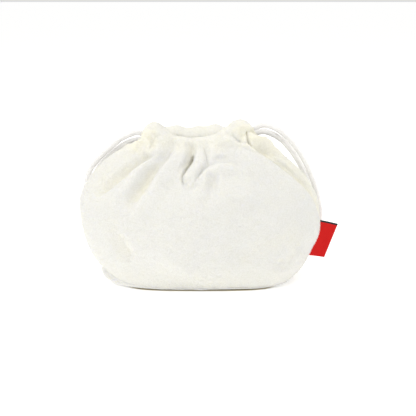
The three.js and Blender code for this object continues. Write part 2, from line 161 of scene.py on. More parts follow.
# Fleece: lumps of its cloudy tone, its pile and its fibre tips in millimetres, then its colours, the warm
# colour of its painted light and the colour of its pile's shade
FLEECE_CLOUD, FLEECE_PILE, FLEECE_TIP = 26.0, 1.7, 1.0
FLEECE_COOL, FLEECE_PALE = (0.778, 0.775, 0.748, 1), (0.802, 0.80, 0.779, 1)
FLEECE_PAINTED_WARM_LIGHT, FLEECE_SHADE = (0.872, 0.852, 0.75, 1), (0.915, 0.912, 0.886, 1)
# How much pile and tips shade the fleece and from where on, and how much they stand out
PILE_SHADE, TIP_SHADE, PILE_SHADE_START = 0.9, 2.4, 1.35
PILE_RELIEF, TIP_RELIEF, FLEECE_RELIEF = 0.7, 0.3, 1.1


def fleece_finish():
    finish = Finish("cream_fleece", {
        "Roughness": 0.95, "Specular IOR Level": 0.12, "Sheen Weight": 0.15, "Sheen Roughness": 0.45,
        "Subsurface Weight": 0.35, "Subsurface Scale": 0.004, "Subsurface Radius": (1.0, 0.92, 0.6),
    })
    place = finish.place()
    pile = finish.grain(place, FLEECE_PILE, detail=3.0)
    tips = finish.grain(place, FLEECE_TIP)
    cream = finish.blend(finish.grain(place, FLEECE_CLOUD), FLEECE_COOL, FLEECE_PALE)
    # Painted warm light: a warmer, lighter cream in the creases and on the shaded strip as painted bounce
    # light, and on the rim and lobes as painted light from above.
    cream = finish.blend(finish.field("painted_warm_light"), cream, FLEECE_PAINTED_WARM_LIGHT)
    shade = pile * PILE_SHADE + tips * TIP_SHADE - PILE_SHADE_START
    finish.paint("Base Color", finish.blend(shade, cream, FLEECE_SHADE, "MULTIPLY"))
    finish.bump(pile * PILE_RELIEF + tips * TIP_RELIEF, FLEECE_RELIEF, strength=0.8)
    return finish.material


# Braid: painted shade in the dips between its strands, colours of its crowns and loose fibres, and the
# fibres' size, share and relief
BRAID_PAINTED_SHADE, BRAID_CROWN = (0.50, 0.488, 0.478, 1), (0.765, 0.75, 0.739, 1)
FIBRE_COLOUR, FIBRE_SIZE, FIBRE_SHARE, FIBRE_RELIEF = (0.75, 0.735, 0.722, 1), 0.35, 0.3, 0.12


def cord_finish():
    finish = Finish("white_braid", {
        "Roughness": 0.7, "Specular IOR Level": 0.2, "Subsurface Weight": 1.0, "Subsurface Scale": 0.02,
        "Subsurface Radius": (1.0, 0.97, 0.94),
    })
    fibres = finish.grain(finish.place(), FIBRE_SIZE)
    # The dips between the braid's strands get painted shade; their crowns keep the cord's white.
    strands = finish.blend(finish.field("braid"), BRAID_PAINTED_SHADE, BRAID_CROWN)
    finish.paint("Base Color", finish.blend(fibres * FIBRE_SHARE, strands, FIBRE_COLOUR))
    finish.bump(fibres, FIBRE_RELIEF, strength=0.5)
    return finish.material


# Label: how many ribs and threads it has, where its dark upper edge starts, its colours and its relief
LABEL_RIBS = 42
LABEL_EDGE = 0.955
LABEL_DEEP, LABEL_BRIGHT = (0.56, 0.010, 0.010, 1), (0.66, 0.018, 0.016, 1)
LABEL_DARK = (0.03, 0.035, 0.04, 1)
RIB_RELIEF, THREAD_RELIEF, LABEL_RELIEF = 0.7, 0.3, 0.06


def label_finish():
    finish = Finish("red_woven_label", {"Roughness": 0.8, "Specular IOR Level": 0.12})
    weave = finish.add("ShaderNodeTexCoord", {}, {}, "UV")
    across, along = finish.part(weave, "X"), finish.part(weave, "Y")
    ribs = finish.sine(along * (2 * math.pi * LABEL_RIBS))
    threads = finish.sine(across * (2 * math.pi * LABEL_RIBS))
    red = finish.blend(ribs * 0.5 + 0.5, LABEL_DEEP, LABEL_BRIGHT)
    edge = finish.add("ShaderNodeMath", {"operation": "GREATER_THAN"}, {0: along, 1: LABEL_EDGE})
    finish.paint("Base Color", finish.blend(edge, red, LABEL_DARK))
    finish.bump(ribs * RIB_RELIEF + threads * THREAD_RELIEF, LABEL_RELIEF, strength=0.6)
    return finish.material


# Half sizes of the patch of floor that the bag keeps in the dark, in metres, and where its edge fades
SHADE_X, SHADE_Y = 0.068, 0.0435
SHADE_INNER, SHADE_OUTER = 0.8, 1.15
FLOOR_PALE, FLOOR_SHADE = (0.93, 0.93, 0.925, 1), (0.74, 0.64, 0.40, 1)
FLOOR_LIT, FLOOR_UNLIT, FLOOR_GLOW = (1.0, 1.0, 0.995, 1), (0, 0, 0, 1), 0.315


def floor_finish():
    finish = Finish("pale_floor", {
        "Roughness": 0.9, "Specular IOR Level": 0.0, "Emission Strength": FLOOR_GLOW,
    })
    place = finish.place()
    x, y = finish.part(place, "X") * (1 / SHADE_X), finish.part(place, "Y") * (1 / SHADE_Y)
    ramp = {"Value": x * x * x * x + y * y * y * y, 1: SHADE_INNER, 2: SHADE_OUTER}
    light = finish.add("ShaderNodeMapRange", {"interpolation_type": "SMOOTHSTEP"}, ramp)
    finish.paint("Base Color", finish.blend(light, FLOOR_SHADE, FLOOR_PALE))
    finish.paint("Emission Color", finish.blend(light, FLOOR_UNLIT, FLOOR_LIT))
    return finish.material


# Meshes
def new_piece(name, points, faces, material, weave=None, fields=None):
    """A piece from points in millimetres and faces of point numbers.

    weave gives each point its UV place, fields its other values by name.
    """
    mesh = bpy.data.meshes.new(name)
    mesh.from_pydata((np.asarray(points) * MM).tolist(), [], [list(face) for face in faces])
    mesh.polygons.foreach_set("use_smooth", [True] * len(mesh.polygons))
    if weave is not None:
        corners = np.empty(len(mesh.loops), int)
        mesh.loops.foreach_get("vertex_index", corners)
        layer = mesh.uv_layers.new(name="weave")
        layer.data.foreach_set("uv", np.asarray(weave, np.float32)[corners].ravel())
    for field, values in (fields or {}).items():
        layer = mesh.attributes.new(field, "FLOAT", "POINT")
        layer.data.foreach_set("value", np.asarray(values, np.float32))
    mesh.materials.append(material)
    mesh.update()
    piece = bpy.data.objects.new(name, mesh)
    bpy.context.scene.collection.objects.link(piece)
    return piece


def grid_faces(columns, rows, start=0, wrap=False):
    """Quads over a grid of points numbered column by column."""
    i = np.arange(columns if wrap else columns - 1)
    j = np.arange(rows - 1)
    here = start + (i[:, None] * rows + j[None, :])
    beside = start + (((i[:, None] + 1) % columns) * rows + j[None, :])
    return np.stack([here, beside, beside + 1, here + 1], -1).reshape(-1, 4)


def facing_out(points, faces):
    """The faces, turned round if they point inward."""
    first, second, third = (points[faces[:, k]] for k in range(3))
    fourth = points[faces[:, -1]]
    volume = np.einsum("ij,ij->i", first, np.cross(second, third)).sum()
    volume += np.einsum("ij,ij->i", first, np.cross(third, fourth)).sum()
    return faces if volume > 0 else faces[:, ::-1]


def unit(vectors):
    return vectors / np.linalg.norm(vectors, axis=-1, keepdims=True)


def stand_for(piece, node):
    """Puts a piece in a node's place on the bag."""
    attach(piece, "root")
    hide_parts(node)


# Braided drawcords: thickness, sides round and step along
CORD, CORD_SIDES, CORD_STEP = 5.0, 40, 0.42
# Braid: strands each way round, lay, how far strands stand out, and the share of that at a strand's ends
BRAID_STRANDS, BRAID_LAY, BRAID_RELIEF, BRAID_FLAT = 8, 2.0, 0.26, 0.75
# Routes from just inside the casing to the knot behind the bag
CORD_ROUTES = {
    "left_cord_front": [
        (-43.4, -9.6, 127.4), (-44.1, -5.9, 127.2), (-46.2, -2.8, 126.9), (-49.3, -1.0, 126.8),
        (-52.9, -0.2, 126.8), (-57.2, 0.5, 126.3), (-62.4, 3.0, 124.8), (-68.8, 7.6, 121.4),
        (-76.2, 12.0, 116.2), (-84.9, 15.0, 109.3), (-91.6, 18.5, 101.6), (-96.6, 22.0, 93.0),
        (-100.6, 26.0, 81.0), (-101.4, 30.5, 68.0), (-100.0, 35.5, 55.0), (-96.5, 41.0, 41.5),
        (-91.5, 46.5, 28.0), (-85.5, 52.0, 15.0), (-80.0, 56.3, 6.8), (-75.0, 59.3, 3.2), (-69.3, 62.6, 3.0),
    ],
    "left_cord_back": [
        (-42.6, 12.4, 126.4), (-43.3, 8.8, 126.6), (-45.5, 5.5, 127.4), (-48.8, 3.5, 129.3),
        (-52.7, 3.0, 131.5), (-57.4, 3.1, 132.5), (-63.6, 4.0, 130.6), (-71.4, 6.0, 126.7),
        (-79.7, 8.0, 120.1), (-88.6, 10.0, 112.1), (-95.7, 12.0, 104.4), (-101.0, 14.2, 97.0),
        (-104.2, 17.0, 88.5), (-106.4, 21.0, 78.0), (-106.6, 25.5, 67.0), (-105.2, 30.5, 55.0),
        (-102.0, 36.0, 42.0), (-97.5, 42.5, 28.0), (-92.5, 49.5, 15.0), (-87.5, 56.5, 6.8),
        (-82.0, 62.2, 3.2), (-76.5, 66.3, 3.0), (-71.2, 68.6, 3.2),
    ],
    "right_cord_front": [
        (41.0, -9.6, 127.8), (41.5, -5.9, 127.9), (43.0, -2.8, 128.6), (45.4, -1.4, 130.4),
        (48.4, -1.1, 132.6), (52.0, -0.9, 133.6), (56.2, 0.0, 133.7), (61.2, 1.6, 131.9),
        (67.2, 4.8, 128.6), (73.6, 8.6, 123.4), (82.1, 12.4, 113.2), (88.7, 15.6, 102.8),
        (94.0, 18.8, 92.4), (98.2, 22.8, 80.4), (100.0, 27.0, 68.0), (99.2, 32.0, 55.5), (96.2, 37.5, 42.0),
        (91.5, 44.0, 28.5), (85.5, 50.0, 15.5), (80.0, 55.0, 7.0), (75.0, 58.8, 3.2), (69.3, 62.6, 3.0),
    ],
    "right_cord_back": [
        (39.6, 12.0, 125.6), (40.2, 8.5, 126.0), (42.1, 5.3, 127.6), (44.6, 3.7, 131.4),
        (47.4, 3.4, 135.4), (51.0, 3.7, 138.1), (56.0, 3.9, 139.0), (62.2, 3.7, 137.6),
        (69.6, 3.5, 133.8), (78.6, 4.2, 125.8), (87.0, 5.8, 115.3), (93.4, 7.6, 104.8),
        (98.4, 9.8, 93.8), (102.8, 12.0, 82.4), (106.2, 14.4, 70.0), (108.6, 17.6, 58.0), (108.8, 22.4, 46.5),
        (106.0, 29.0, 34.5), (100.5, 37.0, 22.5), (94.5, 46.0, 12.0), (88.5, 54.5, 5.4),
        (82.5, 61.5, 3.2), (76.5, 66.3, 3.0), (71.2, 68.6, 3.2),
    ],
}
# Steps between two points of a route, cord steps between two points of a declared path, and a direction
# that no cord starts along
ROUTE_STEPS, PATH_STRIDE, FIRST_SIDE = 24, 4, (0.3, 0.5, 0.8)
# Knots: places, spread, rise and steps of the knotted ring, and the thickness of its pulled cord
KNOT_PLACES = {"left_knot": (-63.3, 67.5, 6.4), "right_knot": (63.3, 67.5, 6.4)}
KNOT_SPREAD, KNOT_RISE, KNOT_STEPS, KNOT_CORD = 1.6, 3.8, 170, 4.6


def run_along(line):
    """How far along the line each of its points is."""
    return np.concatenate([[0], np.cumsum(np.linalg.norm(np.diff(line, axis=0), axis=1))])


def even_line(line, step):
    """The line resampled at an even step, and how far along it each point is."""
    run = run_along(line)
    count = max(int(round(run[-1] / step)), 2)
    at = np.linspace(0, run[-1], count + 1)
    return np.stack([np.interp(at, run, line[:, k]) for k in range(3)], -1), at


def smooth_route(points):
    """A smooth line through the points, with even pace through close and wide ones."""
    p = np.asarray(points, float)
    p = np.concatenate([[2 * p[0] - p[1]], p, [2 * p[-1] - p[-2]]])
    line = []
    for a, b, c, d in zip(p[:-3], p[1:-2], p[2:-1], p[3:]):
        gaps = [np.linalg.norm(y - x) ** 0.5 for x, y in ((a, b), (b, c), (c, d))]
        t = np.concatenate([[0], np.cumsum(gaps)])
        at = np.linspace(t[1], t[2], ROUTE_STEPS, endpoint=False)[:, None]
        ab = (t[1] - at) / (t[1] - t[0]) * a + (at - t[0]) / (t[1] - t[0]) * b
        bc = (t[2] - at) / (t[2] - t[1]) * b + (at - t[1]) / (t[2] - t[1]) * c
        cd = (t[3] - at) / (t[3] - t[2]) * c + (at - t[2]) / (t[3] - t[2]) * d
        abc = (t[2] - at) / (t[2] - t[0]) * ab + (at - t[0]) / (t[2] - t[0]) * bc
        bcd = (t[3] - at) / (t[3] - t[1]) * bc + (at - t[1]) / (t[3] - t[1]) * cd
        line.append((t[2] - at) / (t[2] - t[1]) * abc + (at - t[1]) / (t[2] - t[1]) * bcd)
    line.append(p[-2:-1])
    return np.concatenate(line)


def side_turns(tangents):
    """Two directions across each tangent that turn as little as they can along the line."""
    side = np.cross(tangents[0], FIRST_SIDE)
    sides = []
    for tangent in tangents:
        side = side - tangent * np.dot(side, tangent)
        side = side / np.linalg.norm(side)
        sides.append(side)
    sides = np.array(sides)
    return sides, np.cross(tangents, sides)


def braid_height(run, turn):
    """How far the braid's strands stand out: each passes over one and under the next."""
    one = BRAID_STRANDS * turn / (2 * np.pi) + run / BRAID_LAY
    other = BRAID_STRANDS * turn / (2 * np.pi) - run / BRAID_LAY
    over = (np.floor(one) + np.floor(other)) % 2 == 0
    crown = np.where(over, one, other) % 1 * 2 - 1
    length = np.where(over, other, one) % 1 * 2 - 1
    hump = np.sqrt(np.maximum(1 - length ** 2, 0))
    return np.sqrt(np.maximum(1 - crown ** 2, 0)) * (BRAID_FLAT + (1 - BRAID_FLAT) * hump)


def braided_tube(name, line, run, thick, material, closed=False):
    """A braided cord along a line, closed into a ring or with flat ends."""
    if closed:
        tangents = unit(np.roll(line, -1, axis=0) - np.roll(line, 1, axis=0))
    else:
        tangents = unit(np.gradient(line, axis=0))
    first, second = side_turns(tangents)
    turn = np.linspace(0, 2 * np.pi, CORD_SIDES, endpoint=False)
    height = braid_height(run[:, None], turn[None, :])
    reach = thick / 2 - BRAID_RELIEF + BRAID_RELIEF * height
    fields = {"braid": height.T.ravel()}
    points = (line[:, None] + reach[..., None] * (
        np.cos(turn)[None, :, None] * first[:, None] + np.sin(turn)[None, :, None] * second[:, None]))
    count = len(line)
    points = points.transpose(1, 0, 2).reshape(-1, 3)
    faces = grid_faces(CORD_SIDES, count, wrap=True)
    if closed:
        ring = np.arange(CORD_SIDES) * count
        beside = np.roll(ring, -1)
        faces = np.concatenate([faces, np.stack([ring + count - 1, beside + count - 1, beside, ring], -1)])
        return new_piece(name, points, facing_out(points, faces), material, fields=fields)
    faces = facing_out(points, faces)
    ends = [list(np.arange(CORD_SIDES) * count), list(np.arange(CORD_SIDES) * count + count - 1)]
    forward = faces[0][0] < faces[0][1]
    ends = [ends[0][::-1], ends[1]] if forward else [ends[0], ends[1][::-1]]
    return new_piece(name, points, [*faces.tolist(), *ends], material, fields=fields)


def knot_line():
    """A knotted ring round its own middle, and how far along it each point is."""
    t = np.linspace(0, 2 * np.pi, KNOT_STEPS, endpoint=False)
    spread = KNOT_SPREAD * (2 + np.cos(3 * t))
    line = np.stack([spread * np.cos(2 * t), spread * np.sin(2 * t), KNOT_RISE * np.sin(3 * t)], -1)
    return line, run_along(line)


def make_cords(material):
    """The free strands, and the knots that they end in."""
    line, run = knot_line()
    for name, place in KNOT_PLACES.items():
        knot = braided_tube(name + "_tied", line + np.array(place), run, KNOT_CORD, material, closed=True)
        stand_for(knot, name)
    for name, points in CORD_ROUTES.items():
        line, run = even_line(smooth_route(points), CORD_STEP)
        strand = braided_tube(name + "_braid", line, run, CORD, material)
        stand_for(strand, name)


make_cords(cord_finish())

# Form of the bag: sections from the edge of the flat base up to the rim of the casing.
# Columns: left x, left z, right x, right z, front y, front z, back y, back z, squareness
SECTIONS = np.array([
    (-70, 0.0, 66, 0.0, -35, 0.0, 36, 0.0, 2.7),
    (-83, 3.5, 74, 0.6, -40.4, 0.3, 42, 0.9, 2.8),
    (-90, 11.0, 78.6, 1.8, -42.9, 0.9, 45, 2.0, 2.9),
    (-88, 18.0, 82, 4.0, -45.2, 2.6, 47, 4.2, 2.9),
    (-96, 26.0, 92, 16.0, -51, 15.0, 52, 16.0, 2.7),
    (-103, 38.0, 100, 29.0, -55, 29.0, 56, 29.0, 2.5),
    (-107, 52.0, 106, 44.0, -57, 45.0, 58, 45.0, 2.4),
    (-108, 67.0, 106, 60.0, -56, 61.0, 58, 61.0, 2.3),
    (-104.6, 82.0, 102, 77.0, -53, 77.0, 55, 77.0, 2.2),
    (-95.4, 97.0, 92, 93.0, -47, 92.0, 50, 93.0, 2.2),
    (-83, 109.0, 79, 107.0, -39, 105.0, 43, 106.0, 2.3),
    (-66, 117.5, 66, 118.0, -31, 115.0, 35, 116.0, 2.5),
    (-54, 123.0, 52.5, 126.0, -25, 122.5, 28, 123.5, 2.8),
    (-52, 131.0, 47.5, 134.5, -23, 129.5, 26, 130.0, 3.0),
])
# Rows of the base seam and the rim, and how closely the side seams' heights stay at the sides
SEAM_LEVEL, RIM_LEVEL, SIDE_POWER = 3, len(SECTIONS) - 1, 4
# The two panels, as the way they face along y. Across runs from -1 to 1 between the side seams, up from 0 at
# the base seam to 1 at the rim.
FRONT, BACK = -1, 1

# Thickness of the cloth, and the gap between the panels at the side seams
CLOTH, SEAM_GAP = 2.4, 0.08
# Casing: where up it is stitched and its tunnel is full, the tunnel's width, the gap at the stitching and how
# far the rim's roll rises
STITCH, TUNNEL_FULL, TUNNEL_WIDTH = 0.76, 0.85, 8.2
HEM_GAP, ROLL_RISE = 0.5, 4.6
# Side slits for the cords: their share of a panel's half width, and where up they start and are full
SLIT, SLIT_START, SLIT_FULL = 0.17, 0.78, 0.86
# A panel's length from up 0 to 1 as its folds measure it, and where up the folds are full
FOLD_RUN, FOLDS_FULL = 142.0, 0.08

# Profiles of a fold from its path outward: SOFT fades out, ROLL is full and ends in a crisp edge,
# CREASE is a sharp line along the path, EDGE a gentler one.
SOFT, ROLL, CREASE, EDGE = (2.0, 2.0), (2.0, 0.9), (1.0, 1.8), (1.3, 1.8)
# The left side seam swells under the drawcords, alike on both panels up to where the casing opens.
LEFT_SEAM = [
    (-1, 0.36, 0), (-1, 0.46, 1.6), (-1, 0.56, 2.4), (-1, 0.64, 2.2), (-1, 0.7, 2), (-0.99, 0.77, 2.8),
]
# Folds: name, path of (across, up, height), then reach and profile left and right of a path that goes down.
FRONT_FOLDS = [
    ("shoulder groove",
     [(-0.4, 0.83, 0), (-0.445, 0.765, -4.5), (-0.5, 0.665, -6), (-0.59, 0.565, -4.5), (-0.7, 0.48, 0)],
     13, SOFT, 4.5, SOFT),
    ("left roll",
     [(-0.375, 0.95, 0.5), (-0.39, 0.82, 2), (-0.415, 0.68, 3), (-0.47, 0.57, 2), (-0.54, 0.48, 0)],
     8, SOFT, 14, SOFT),
    ("long valley",
     [(-0.275, 0.88, 0), (-0.28, 0.82, -0.8), (-0.285, 0.77, -2.4), (-0.295, 0.69, -5.4),
      (-0.322, 0.6, -6), (-0.352, 0.53, -5), (-0.43, 0.455, 0)],
     14, SOFT, 4.4, SOFT),
    ("broad ridge",
     [(-0.2, 1, 0.5), (-0.212, 0.88, 1.6), (-0.222, 0.76, 3.4), (-0.242, 0.66, 4.4), (-0.275, 0.57, 3.5),
      (-0.32, 0.48, 2), (-0.39, 0.4, 0)],
     5, ROLL, 16, SOFT),
    ("deep valley",
     [(-0.066, 1, -1.5), (-0.068, 0.96, -2), (-0.072, 0.9, -3.4), (-0.075, 0.828, -5),
      (-0.078, 0.775, -5), (-0.085, 0.73, -3), (-0.1, 0.68, 0)],
     8, SOFT, 3.5, SOFT),
    ("valley crease",
     [(-0.07, 0.86, 0), (-0.075, 0.81, -5), (-0.074, 0.75, -10), (-0.088, 0.705, -7),
      (-0.104, 0.655, -3), (-0.09, 0.62, -1.6), (-0.06, 0.608, 0)],
     2.8, CREASE, 2.4, CREASE),
    ("hooked ridge",
     [(-0.016, 1, 0.5), (-0.016, 0.88, 1.5), (-0.01, 0.8, 2.5), (-0.008, 0.745, 3.5), (-0.03, 0.7, 4.5),
      (-0.052, 0.66, 4.5), (-0.045, 0.63, 3), (-0.015, 0.605, 0)],
     7, ROLL, 6, ROLL),
    ("crack",
     [(0.03, 0.96, 0), (0.036, 0.86, -1), (0.04, 0.81, -1.2), (0.05, 0.774, -1.6), (0.065, 0.736, -1.2),
      (0.035, 0.706, -0.8), (0.002, 0.668, -0.8), (-0.02, 0.64, -0.8), (-0.035, 0.612, 0)],
     1.8, CREASE, 2.2, CREASE),
    ("lip",
     [(-0.02, 0.6, 0), (0.03, 0.655, 2), (0.068, 0.69, 2.8), (0.133, 0.72, 4), (0.19, 0.724, 3.4),
      (0.242, 0.71, 2), (0.3, 0.68, 0)],
     13, SOFT, 4.5, ROLL),
    ("lip dimple",
     [(0.085, 0.8, 0), (0.13, 0.785, -1.2), (0.17, 0.78, -1), (0.23, 0.765, 0)],
     7, SOFT, 7, SOFT),
    ("middle groove",
     [(0.1, 0.69, 0), (0.093, 0.66, -2.6), (0.078, 0.61, -3), (0.062, 0.55, -1.6), (0.05, 0.49, 0)],
     8, SOFT, 6, SOFT),
    ("upright ridge",
     [(0.1, 1, 0.5), (0.1, 0.9, 2), (0.095, 0.82, 2.5), (0.09, 0.765, 1.5), (0.085, 0.735, 0)],
     6, SOFT, 11, SOFT),
    ("right edge",
     [(0.25, 1, 2.5), (0.298, 0.945, 3.4), (0.345, 0.9, 3.8), (0.433, 0.846, 4.4), (0.478, 0.79, 4.6),
      (0.545, 0.735, 4.6), (0.585, 0.672, 4.4), (0.63, 0.612, 4.2), (0.7, 0.545, 3.8), (0.745, 0.485, 3),
      (0.78, 0.43, 2), (0.86, 0.34, 0)],
     30, SOFT, 4, ROLL),
    ("right valley",
     [(0.4, 0.9, 0), (0.46, 0.86, -0.4), (0.51, 0.82, -1.2), (0.565, 0.755, -2.6), (0.63, 0.67, -3.4),
      (0.69, 0.6, -3.4), (0.76, 0.52, -3), (0.81, 0.45, -2), (0.9, 0.34, 0)],
     4, SOFT, 13, SOFT),
    ("side roll", [(0.7, 0.8, 0), (0.79, 0.7, 2.5), (0.87, 0.6, 2), (0.94, 0.5, 0)], 9, SOFT, 9, SOFT),
    ("side wrinkle 1",
     [(0.58, 0.81, 0), (0.63, 0.745, 1.4), (0.69, 0.665, 1.2), (0.75, 0.59, 0)],
     2.6, SOFT, 2.6, SOFT),
    ("side wrinkle 2",
     [(0.63, 0.82, 0), (0.68, 0.755, 1.3), (0.74, 0.675, 1.1), (0.8, 0.6, 0)],
     2.6, SOFT, 2.6, SOFT),
    ("tall lobe", [(0.33, 1, 3), (0.42, 1, 6), (0.51, 0.99, 6.5), (0.6, 0.95, 3)], 20, SOFT, 12, ROLL),
    ("lobe crack",
     [(0.5, 0.975, 0), (0.485, 0.94, -2.4), (0.472, 0.9, -4), (0.46, 0.86, -3), (0.46, 0.83, 0)],
     1.8, CREASE, 1.8, CREASE),
    ("low lobe",
     [(0.5, 0.88, 6), (0.57, 0.893, 8), (0.67, 0.885, 9), (0.78, 0.85, 7), (0.85, 0.8, 2)],
     12, SOFT, 9, ROLL),
    ("left lobe",
     [(-0.53, 0.83, 1), (-0.59, 0.9, 3.5), (-0.6, 0.96, 4.5), (-0.53, 1, 5.5), (-0.45, 1, 5),
      (-0.4, 0.97, 2)],
     8, ROLL, 8, ROLL),
    ("lobe crease",
     [(-0.4, 0.99, 0), (-0.44, 0.955, -1), (-0.478, 0.91, -1.3), (-0.475, 0.86, -1), (-0.46, 0.83, 0)],
     2.2, CREASE, 2.2, CREASE),
    ("second lobe",
     [(-0.35, 1, 1.5), (-0.36, 0.93, 2.4), (-0.38, 0.85, 2), (-0.4, 0.77, 0)],
     7, SOFT, 9, SOFT),
    ("lobe filling",
     [(-0.5, 0.98, 3), (-0.49, 0.92, 4.5), (-0.47, 0.86, 3.5), (-0.46, 0.8, 0)],
     12, SOFT, 11, SOFT),
    ("soft knuckle",
     [(-0.117, 0.63, 0), (-0.08, 0.5, 5), (-0.046, 0.345, 7), (-0.117, 0.21, 6), (-0.2, 0.1, 0)],
     46, SOFT, 52, EDGE),
    ("lip puff",
     [(0.05, 0.57, 0), (0.14, 0.545, 3.8), (0.27, 0.55, 4.4), (0.37, 0.6, 0)],
     14, EDGE, 20, SOFT),
    ("right drag",
     [(0.62, 0.42, 0), (0.45, 0.32, -1.6), (0.25, 0.24, -1.4), (0.1, 0.2, 0)],
     12, SOFT, 14, SOFT),
    ("left corner dimple",
     [(-0.5, 0.4, 0), (-0.44, 0.345, -1.8), (-0.405, 0.285, -2.8), (-0.382, 0.235, -2.8),
      (-0.385, 0.16, 0)],
     13, SOFT, 7, SOFT),
    ("right corner dimple",
     [(0.52, 0.36, 0), (0.52, 0.275, -2), (0.54, 0.22, -2), (0.57, 0.14, 0)],
     10, SOFT, 8, SOFT),
    ("right base pucker",
     [(0.42, 0.2, 0), (0.455, 0.18, -1.8), (0.515, 0.16, -1.8), (0.58, 0.15, 0)],
     8, SOFT, 8, SOFT),
    ("left seam",
     [*LEFT_SEAM, (-0.92, 0.83, 4.6), (-0.88, 0.88, 5.5), (-0.84, 0.93, 4.4), (-0.82, 0.99, 0)],
     16, SOFT, 16, SOFT),
]
BACK_FOLDS = [
    ("left seam",
     [*LEFT_SEAM, (-0.91, 0.83, 2.4), (-0.86, 0.88, 2.4), (-0.83, 0.94, 0)],
     7, SOFT, 7, SOFT),
    ("gather 1", [(-0.62, 0.97, -1.5), (-0.63, 0.78, -4), (-0.72, 0.5, 0)], 14, SOFT, 13, SOFT),
    ("gather 2", [(-0.37, 0.97, -2), (-0.38, 0.77, -4.5), (-0.43, 0.46, 0)], 12, SOFT, 13, SOFT),
    ("gather 3", [(-0.13, 0.97, -2), (-0.14, 0.77, -5), (-0.17, 0.52, 0)], 10, SOFT, 11, SOFT),
    ("gather 4", [(0.1, 0.97, -2), (0.11, 0.77, -4.5), (0.14, 0.48, 0)], 11, SOFT, 10, SOFT),
    ("gather 5", [(0.34, 0.97, -2), (0.35, 0.77, -4.5), (0.41, 0.5, 0)], 13, SOFT, 12, SOFT),
    ("gather 6", [(0.62, 0.97, -1.5), (0.63, 0.78, -4), (0.72, 0.52, 0)], 13, SOFT, 14, SOFT),
    ("puff 1", [(-0.49, 1, 2), (-0.5, 0.8, 3), (-0.55, 0.56, 0)], 13, SOFT, 13, SOFT),
    ("puff 2", [(-0.25, 1, 2), (-0.26, 0.8, 3), (-0.29, 0.56, 0)], 12, SOFT, 12, SOFT),
    ("puff 3", [(-0.02, 1, 2), (-0.02, 0.8, 3), (-0.01, 0.58, 0)], 11, SOFT, 11, SOFT),
    ("puff 4", [(0.22, 1, 2), (0.23, 0.8, 3), (0.27, 0.55, 0)], 12, SOFT, 12, SOFT),
    ("puff 5", [(0.48, 1, 2), (0.49, 0.8, 3), (0.55, 0.56, 0)], 13, SOFT, 13, SOFT),
]
# The rim stands higher where the casing puffs up, from LIFT_START up: where across, reach, lift
LIFT_START = 0.84
FRONT_LIFTS = [(-0.48, 0.26, 6.6), (-0.02, 0.32, -2.0), (0.47, 0.28, 10.0)]
BACK_LIFTS = [(-0.3, 0.3, 3.8), (0.16, 0.36, 4.2)]
# A puffed casing rolls higher, and the back's facing swells into the mouth, between these places across.
ROLL_PUFF, MOUTH_PUFF, MOUTH_ACROSS = 0.45, 9.5, (0.7, 0.3)
# Share of the wall's fine detail that the facing shows
FACING_DETAIL = 0.6
# How deep a fold is where its crease gets all of its painted warm light, which stands in for warm bounce
# light in its shade
HOLLOW_DEPTH = 8.0
# Where else the fleece gets painted warm light (painted light on the rim, lobes, shoulder, facing and near
# the base, painted bounce light in the shade of the strip): the share of a crease's full painted light, then
# where it starts and is full, up the panel or across it. The strip lies behind the right edge, beyond a
# slanting line across + STRIP_SLOPE * up.
RIM_PAINTED_LIGHT, RIM_UP = 0.4, (0.8, 0.92)
BASE_PAINTED_LIGHT, BASE_UP = 0.25, (0.25, 0.0)
LOBE_PAINTED_LIGHT, LOBE_ACROSS, LOBE_UP = 0.6, (0.4, 0.48), (0.76, 0.84)
SHOULDER_PAINTED_LIGHT, SHOULDER_ACROSS, SHOULDER_UP = 0.2, (0.5, 0.7), (0.42, 0.62)
STRIP_PAINTED_LIGHT, STRIP_SLOPE, STRIP_LINE = 0.6, 0.8, (1.12, 1.18)
FACING_PAINTED_LIGHT = 0.5
# Steps for slopes of the form, where a side seam begins, and the least length to divide by
ACROSS_STEP, LEVEL_STEP, SEAM_ACROSS, TINY = 0.004, 0.02, 0.999, 1e-9


def smoothstep(value, low, high):
    q = np.clip((value - low) / (high - low), 0, 1)
    return q * q * (3 - 2 * q)


def section_at(level):
    """The section at a level, on a smooth curve through the table's rows."""
    i = np.clip(np.floor(level).astype(int), 0, RIM_LEVEL - 1)
    f = (level - i)[..., None]
    a, b = SECTIONS[np.maximum(i - 1, 0)], SECTIONS[i]
    c, d = SECTIONS[i + 1], SECTIONS[np.minimum(i + 2, RIM_LEVEL)]
    return 0.5 * (
        2 * b + (c - a) * f + (2 * a - 5 * b + 4 * c - d) * f ** 2 + (3 * b - a - 3 * c + d) * f ** 3)


def smooth_point(side, across, level):
    """A point of the bag's form without its folds."""
    columns = np.moveaxis(section_at(level), -1, 0)
    left_x, left_z, right_x, right_z, front_y, front_z, back_y, back_z, square = columns
    angle = across * math.pi / 2
    sine, cosine = np.sin(angle), np.maximum(np.cos(angle), 0)
    spread = (np.abs(sine) ** square + cosine ** square) ** (-1 / square)
    x = (right_x + left_x) / 2 + (right_x - left_x) / 2 * spread * sine
    y = (front_y if side == FRONT else back_y) * spread * cosine
    rise = front_z if side == FRONT else back_z
    z = rise + (np.where(across < 0, left_z, right_z) - rise) * sine ** SIDE_POWER
    return np.stack([x, y, z], -1)


def smooth_frame(side, across, level):
    """Point, outward normal, upward tangent and stretch per unit of across."""
    point = smooth_point(side, across, level)
    low, high = np.maximum(across - ACROSS_STEP, -1), np.minimum(across + ACROSS_STEP, 1)
    along = smooth_point(side, high, level) - smooth_point(side, low, level)
    up = unit(smooth_point(side, across, np.minimum(level + LEVEL_STEP, RIM_LEVEL))
              - smooth_point(side, across, np.maximum(level - LEVEL_STEP, 0)))
    stretch = np.linalg.norm(along, axis=-1) / (high - low)
    normal = np.cross(along, up) * -side
    normal[..., 1] = np.where(np.abs(across) > SEAM_ACROSS, 0, normal[..., 1])
    return point, unit(normal), up, stretch


